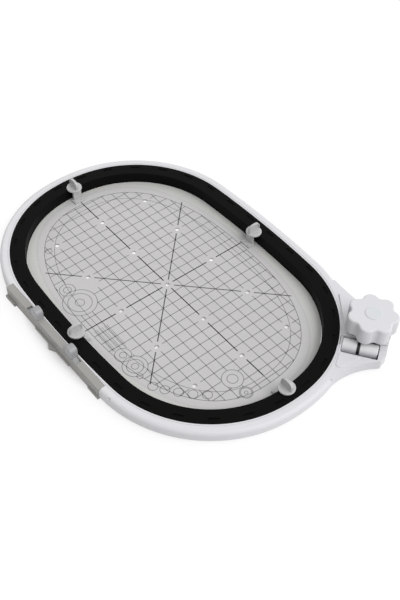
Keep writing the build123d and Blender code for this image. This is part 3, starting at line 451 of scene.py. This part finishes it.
def print_object(name, inks, dark, light):
    """One object of the inks' points and faces, with its own ink, that rides the template."""
    patch_size = 4 * MM
    ink_relief = 0.003 * MM
    counts = np.cumsum([0] + [len(points) for points, faces in inks])
    points = np.concatenate([points for points, faces in inks])
    points[:, :2] += PRINT_SHIFT
    points[:, 2] += PLATE_TOP
    faces = np.concatenate([faces + count for (_, faces), count in zip(inks, counts)])
    mesh = bpy.data.meshes.new(name)
    mesh.from_pydata(points, [], faces)
    made, tree = new_material(name)
    patch = noise(tree, object_place(tree), patch_size, 3.0)
    sockets = {"Base Color": tint(tree, patch, dark, light), "Roughness": 0.5 + patch * 0.2}
    mesh.materials.append(close_material(made, tree, sockets, patch, ink_relief))
    thing = bpy.data.objects.new(name, mesh)
    bpy.context.scene.collection.objects.link(thing)
    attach(thing, "template")


grid_inks = [
    grid_bars(FIELD_HALF, GRID_LINE, 0),
    grid_bars(FIELD_HALF, GRID_LINE, 1),
    ink_loop(field_rim(FIELD_HALF, 240) + FIELD_MIDDLE - PRINT_SHIFT, OUTLINE),
    ink_loop(field_rim(INNER_HALF, 240) + FIELD_MIDDLE - PRINT_SHIFT, INNER_OUTLINE),
]
grid_inks += [ink_ring((u, v), radius, RING_LINE) for u, v, radius in RINGS]
scale_starts = np.stack((np.full(len(SCALE_LEVELS), SCALE_START), SCALE_LEVELS), 1) * MM
scale_ends = scale_starts + np.array((SCALE_LENGTH, 0)) * MM
grid_inks.append(ink_bars(scale_starts, scale_ends, SCALE_LINE))
print_object("template_print", grid_inks, (0.16, 0.16, 0.165), (0.26, 0.26, 0.265))
spoke_ends = np.array(SPOKE_ENDS) * MM
spokes = ink_bars(np.zeros(spoke_ends.shape), spoke_ends, SPOKE_LINE, ())
print_object("template_spokes", [spokes], (0.04, 0.04, 0.042), (0.1, 0.1, 0.105))

# Template clips: four round pads with dished finger grips and the rivets that hold them to the
# plate, all in a light grey plastic. The clips are moulded, and the rivets' heads are formed hot.
clip_plastic = moulded_plastic(
    "clip_plastic",
    (0.5, 0.5, 0.505),
    grain=0.5 * MM,
    depth=0.02 * MM,
    roughness=0.36,
    shine=0.5,
    uneven=0.05,
)
dress(
    clip_plastic,
    "template_clip_near",
    "template_clip_far",
    "template_clip_left",
    "template_clip_right",
    "clip_rivets",
)

# Connector: the channel and its cover on the hoop's near side, which hold it to the machine's arm.
# Both are moulded in a warm grey glass-filled plastic and screwed to the outer hoop from below.
grey_plastic = moulded_plastic(
    "grey_plastic",
    (0.34, 0.335, 0.32),
    grain=0.5 * MM,
    depth=0.03 * MM,
    roughness=0.46,
    shine=0.35,
    uneven=0.05,
)
dress(grey_plastic, "connector_body", "connector_cover")

# Release levers: two finger tabs that slide in the connector against their springs. They are
# moulded in a slightly cooler and smoother grey.
lever_plastic = moulded_plastic(
    "lever_plastic",
    (0.335, 0.34, 0.35),
    grain=0.6 * MM,
    depth=0.01 * MM,
    roughness=0.32,
    shine=0.5,
    uneven=0.04,
)
dress(lever_plastic, "release_lever_left", "release_lever_right")


# Studio: a pale floor that looks white to the camera and to reflections and keeps a soft shadow,
# a sky that is brighter on the far side, and one large soft lamp at the right. The floor seen
# through the holes of the template's near half is shaded.
def seen_ray(tree):
    """1 for a ray that shows the background, from the camera or by gloss or glass, 0 for others."""
    kinds = ("Is Camera Ray", "Is Glossy Ray", "Is Transmission Ray")
    camera_ray, glossy_ray, through_ray = tree.node("ShaderNodeLightPath", {}, {}, kinds)
    return tree.maths("MINIMUM", camera_ray + glossy_ray + through_ray, 1.0)


FLOOR_HALF = 6.0
FLOOR_GLOW = 1.03
GLOW_SHARE = 0.7
HOLE_SHADE = 0.6
SHADE_REACH = (130 * MM, 120 * MM)
SHADE_EDGE = (50 * MM, 0)
mesh = bpy.data.meshes.new("studio_floor")
corners = np.array(((-1, -1, 0), (1, -1, 0), (1, 1, 0), (-1, 1, 0))) * FLOOR_HALF
mesh.from_pydata(corners, [], [(0, 1, 2, 3)])
floor = bpy.data.objects.new("studio_floor", mesh)
bpy.context.scene.collection.objects.link(floor)
made, tree = new_material("studio_floor")
seen = seen_ray(tree)
paper_colour = tint(tree, seen, (0.7, 0.7, 0.7), (0.98, 0.98, 0.98))
paper = tree.node("ShaderNodeBsdfDiffuse", {}, {"Color": paper_colour})
glow = tree.node("ShaderNodeEmission", {}, {"Color": (1, 1, 1, 1), "Strength": FLOOR_GLOW})
place = object_place(tree)
along, across = tree.node("ShaderNodeSeparateXYZ", {}, {"Vector": place}, ("X", "Y"))
radius = tree.node("ShaderNodeVectorMath", {"operation": "LENGTH"}, {0: place}, "Value")
shade = ramp(tree, across - along, *SHADE_EDGE) * ramp(tree, radius, *SHADE_REACH)
glow_share = seen * (GLOW_SHARE - shade * HOLE_SHADE)
both = tree.node("ShaderNodeMixShader", {}, {0: glow_share, 1: paper, 2: glow})
surface = made.node_tree.nodes.new("ShaderNodeOutputMaterial")
made.node_tree.links.new(both.socket, surface.inputs["Surface"])
floor.data.materials.append(made)

SKY_LEVEL = 0.8
SKY_RISE = (0.15, 0.45)
sky = bpy.data.worlds.new("studio_sky")
bpy.context.scene.world = sky
sky.use_nodes = True
sky.node_tree.nodes.clear()
tree = Shade(sky.node_tree)
seen = seen_ray(tree)
way = tree.node("ShaderNodeTexCoord", {}, {}, "Generated")
right, far = tree.node("ShaderNodeSeparateXYZ", {}, {"Vector": way}, ("X", "Y"))
level = SKY_LEVEL + right * SKY_RISE[0] + far * SKY_RISE[1]
strength = level * (1.0 - seen) + seen
background = tree.node("ShaderNodeBackground", {}, {"Color": (1, 1, 1, 1), "Strength": strength})
surface = sky.node_tree.nodes.new("ShaderNodeOutputWorld")
sky.node_tree.links.new(background.socket, surface.inputs["Surface"])

lamp_data = bpy.data.lights.new("overhead_lamp", "SUN")
lamp_data.energy = 0.95
lamp_data.angle = 0.7
lamp = bpy.data.objects.new("overhead_lamp", lamp_data)
lamp.rotation_euler = (-0.15, 0.6, 0)
bpy.context.scene.collection.objects.link(lamp)

# Camera: at the photograph's place and angle, as fitted to the printed grid. RIGHT, UP and BACK are
# its own axes, and its lens has the fitted length for a 36 mm sensor.
CAMERA_PLACE = (0.40429, -0.31324, 0.5568)
RIGHT = (0.6310752, 0.7752804, 0.0261610)
UP = (-0.5902007, 0.4579895, 0.6647622)
BACK = (0.5033956, -0.4349552, 0.7465969)
camera_data = bpy.data.cameras.new("camera")
camera_data.sensor_width = 36.0
camera_data.lens = 51.467
camera = bpy.data.objects.new("camera", camera_data)
turn = Matrix((RIGHT, UP, BACK)).transposed().to_4x4()
camera.matrix_world = Matrix.Translation(CAMERA_PLACE) @ turn
bpy.context.scene.collection.objects.link(camera)
bpy.context.scene.camera = camera
bpy.context.scene.view_settings.view_transform = "Standard"
